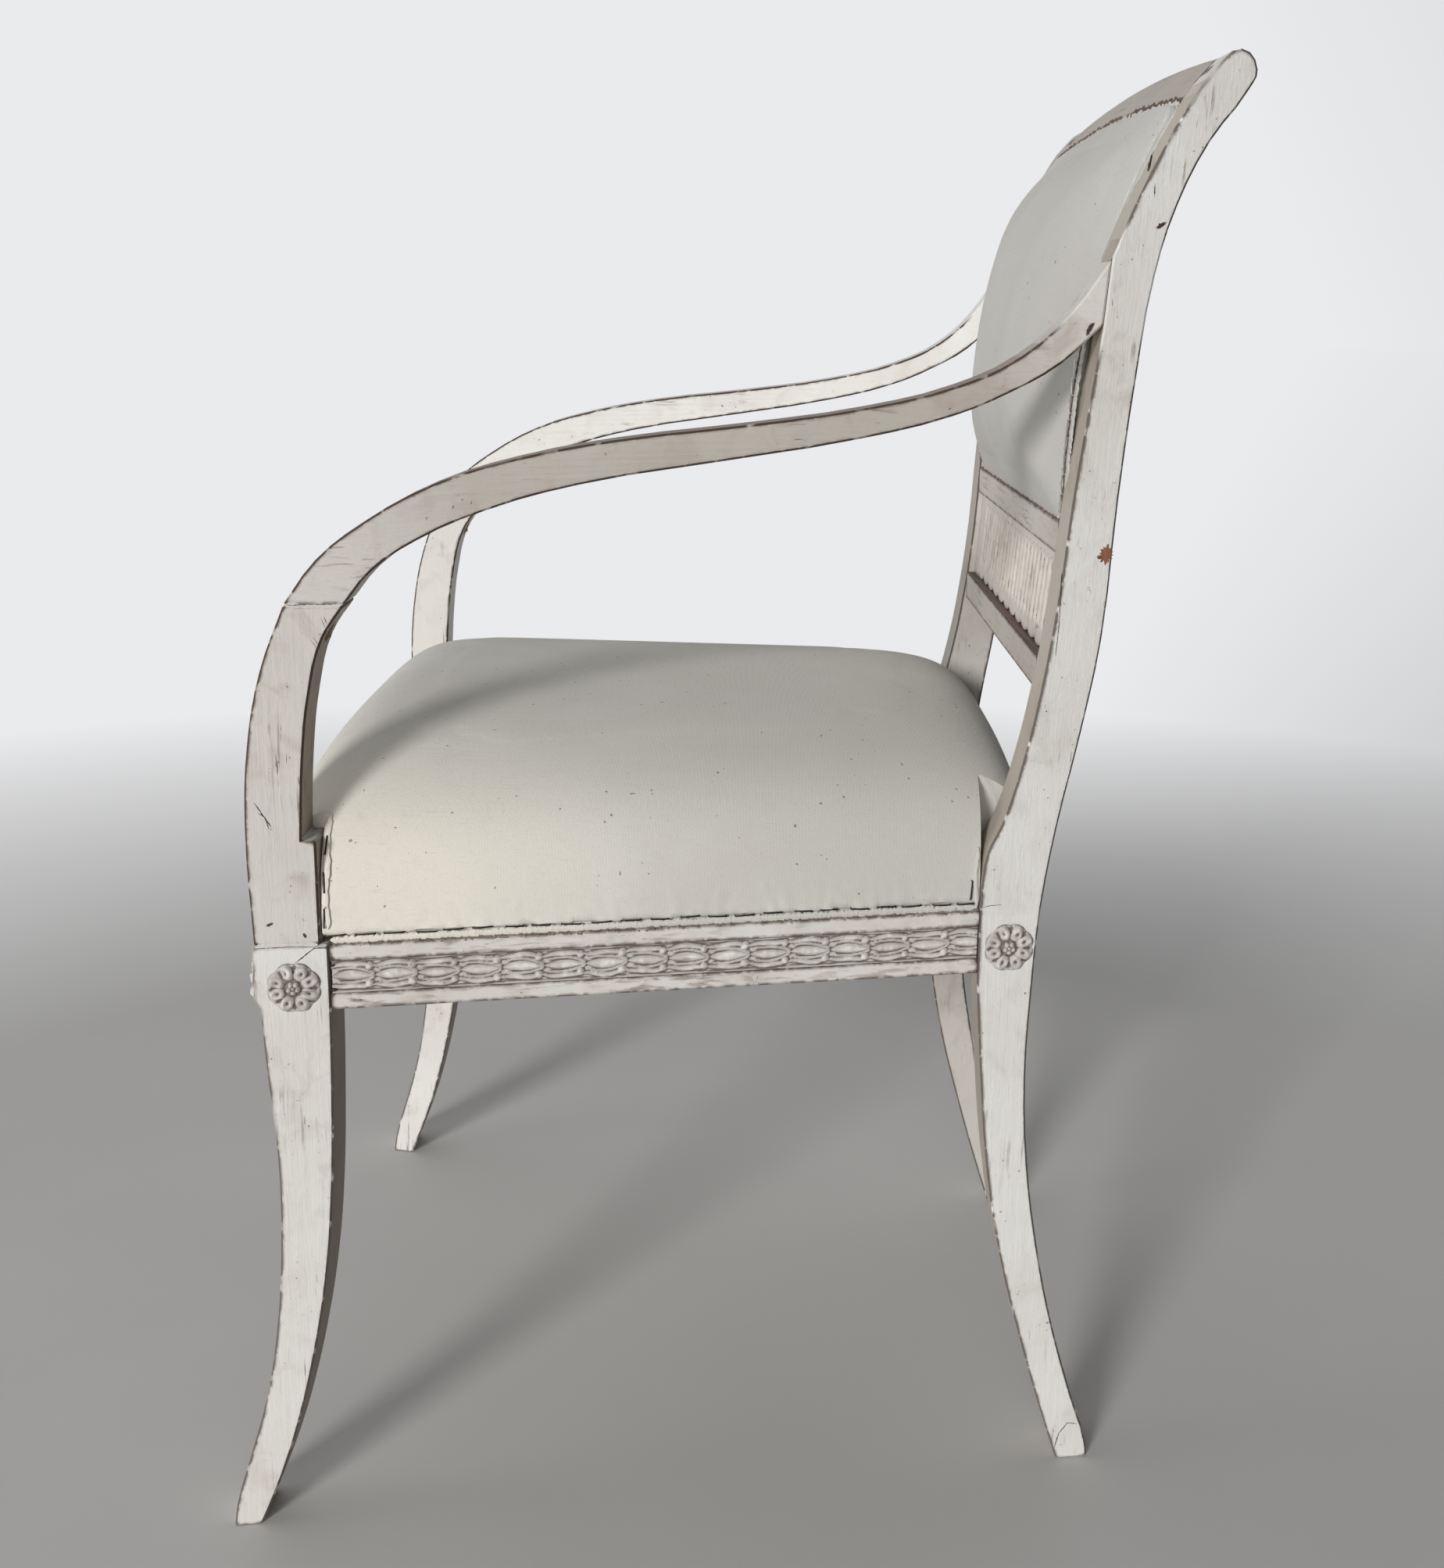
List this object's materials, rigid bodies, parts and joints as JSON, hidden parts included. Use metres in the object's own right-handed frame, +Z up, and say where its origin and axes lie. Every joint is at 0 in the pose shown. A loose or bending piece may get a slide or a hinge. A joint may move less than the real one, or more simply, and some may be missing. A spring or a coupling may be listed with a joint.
{
  "type": "sabre-leg armchair",
  "caption": "Low neoclassical open armchair with sabre legs, sweeping arms, carved seat rails, a fluted back panel and a calico-covered seat and back.",
  "frame": {"origin": "on the floor, at the middle of the chair's box seen from above", "axes": "+Z up; the sitter faces -Y; +X is the sitter's left"},
  "size_m": [0.5712, 0.5811, 0.8865],
  "materials": {
    "painted_wood": "old off-white chalky paint over beech, rubbed brown along the edges",
    "carved_paint": "the same paint over carving, with brown glaze left in the hollows",
    "calico": "unbleached plain-weave calico, matt",
    "webbing": "coarse jute upholstery webbing",
    "hessian": "open plain-weave hessian",
    "horsehair": "curled hair stuffing",
    "beech": "bare beech, oiled by age",
    "screw_steel": "dull iron wood screw"
  },
  "bodies": {
    "root": {"arm_front_dowel_left": "beech", "arm_front_dowel_right": "beech", "arm_left": "painted_wood", "arm_post_left": "painted_wood", "arm_post_right": "painted_wood", "arm_rear_dowel_left": "beech", "arm_rear_dowel_right": "beech", "arm_right": "painted_wood", "back_cover": "calico", "back_hessian": "hessian", "back_rail": "painted_wood", "back_strap_across_1": "webbing", "back_strap_across_2": "webbing", "back_strap_up_1": "webbing", "back_strap_up_2": "webbing", "back_stuffing": "horsehair", "corner_block_front_left": "beech", "corner_block_front_left_screw": "screw_steel", "corner_block_front_right": "beech", "corner_block_front_right_screw": "screw_steel", "corner_block_rear_left": "beech", "corner_block_rear_left_screw": "screw_steel", "corner_block_rear_right": "beech", "corner_block_rear_right_screw": "screw_steel", "crest_rail": "painted_wood", "fluted_panel": "carved_paint", "front_leg_left": "painted_wood", "front_leg_right": "painted_wood", "front_rail": "painted_wood", "husk_band_front": "carved_paint", "husk_band_left": "carved_paint", "husk_band_right": "carved_paint", "lower_back_rail": "painted_wood", "outside_back_cover": "calico", "post_dowel_left": "beech", "post_dowel_right": "beech", "rear_stile_left": "painted_wood", "rear_stile_right": "painted_wood", "rosette_front_left": "carved_paint", "rosette_front_right": "carved_paint", "rosette_rear_left": "carved_paint", "rosette_rear_right": "carved_paint", "rosette_side_left": "carved_paint", "rosette_side_right": "carved_paint", "seat_cover": "calico", "seat_hessian": "hessian", "seat_strap_across_1": "webbing", "seat_strap_across_2": "webbing", "seat_strap_across_3": "webbing", "seat_strap_along_1": "webbing", "seat_strap_along_2": "webbing", "seat_strap_along_3": "webbing", "seat_stuffing": "horsehair", "side_rail_left": "painted_wood", "side_rail_right": "painted_wood", "upper_back_rail": "painted_wood"}
  },
  "joints": []
}
